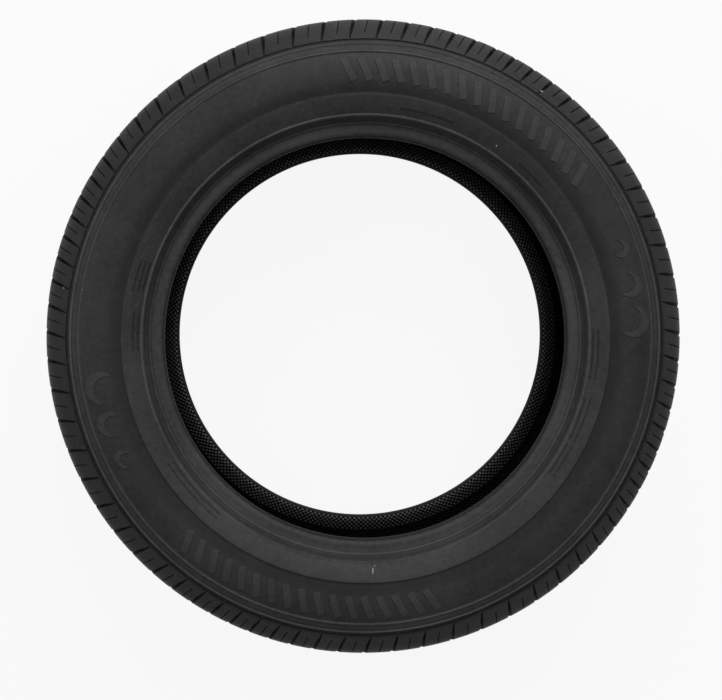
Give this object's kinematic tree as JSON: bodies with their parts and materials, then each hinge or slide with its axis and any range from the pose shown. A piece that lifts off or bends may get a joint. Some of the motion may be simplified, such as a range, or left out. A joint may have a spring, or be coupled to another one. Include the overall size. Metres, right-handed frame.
{
  "type": "car tyre",
  "caption": "Tubeless radial van tyre off its rim: ribbed tread with slotted shoulder blocks, ringed sidewalls with plain raised marks, open air cavity.",
  "frame": {"origin": "centre of the tyre: on its axle line, at the middle of the tread", "axes": "+Z along the axle, towards the sidewall that the picture shows; the tyre lies on its other sidewall; +X to the right and +Y to the top of the picture"},
  "size_m": [0.6899, 0.69, 0.221],
  "materials": {
    "rubber": "matt moulded rubber"
  },
  "bodies": {
    "root": {"tyre": "rubber"}
  },
  "joints": []
}
